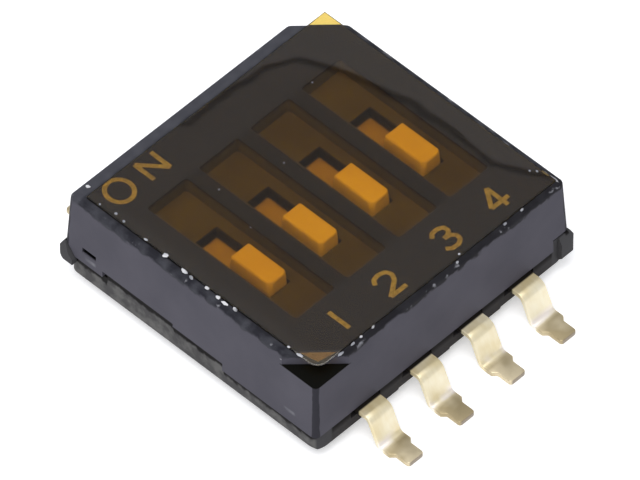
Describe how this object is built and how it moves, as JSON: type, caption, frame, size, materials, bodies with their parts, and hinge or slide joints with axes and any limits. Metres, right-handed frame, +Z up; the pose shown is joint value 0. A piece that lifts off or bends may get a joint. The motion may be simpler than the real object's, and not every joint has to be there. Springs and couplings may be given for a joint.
{
  "type": "slide dip switch",
  "caption": "Surface-mount half-pitch slide DIP switch with recessed sliders under a seal film and gull-wing solder terminals on two sides.",
  "frame": {"origin": "on the solder plane, under the middle of the body", "axes": "+X along the row of poles from 1 to 4, +Y from the number side toward ON, +Z up"},
  "size_m": [0.0064, 0.0083, 0.0022],
  "materials": {
    "cover": "satin",
    "base": "satin",
    "seal_film": "gloss",
    "slider": "satin",
    "moving_contact": "satin",
    "terminal": "satin"
  },
  "bodies": {
    "housing": {"cover": "cover", "base": "base", "seal_film": "seal_film", "front_terminal_1": "terminal", "front_terminal_2": "terminal", "front_terminal_3": "terminal", "front_terminal_4": "terminal", "rear_terminal_1": "terminal", "rear_terminal_2": "terminal", "rear_terminal_3": "terminal", "rear_terminal_4": "terminal"},
    "slider_1": {"slider_1": "slider", "moving_contact_1": "moving_contact"},
    "slider_2": {"slider_2": "slider", "moving_contact_2": "moving_contact"},
    "slider_3": {"slider_3": "slider", "moving_contact_3": "moving_contact"},
    "slider_4": {"slider_4": "slider", "moving_contact_4": "moving_contact"}
  },
  "joints": [
    {"name": "slider_1_slide", "type": "slide", "parent": "housing", "child": "slider_1", "axis": [0, 1, 0], "range_m": [0, 0.00077]},
    {"name": "slider_2_slide", "type": "slide", "parent": "housing", "child": "slider_2", "axis": [0, 1, 0], "range_m": [0, 0.00077]},
    {"name": "slider_3_slide", "type": "slide", "parent": "housing", "child": "slider_3", "axis": [0, 1, 0], "range_m": [0, 0.00077]},
    {"name": "slider_4_slide", "type": "slide", "parent": "housing", "child": "slider_4", "axis": [0, 1, 0], "range_m": [0, 0.00077]}
  ]
}
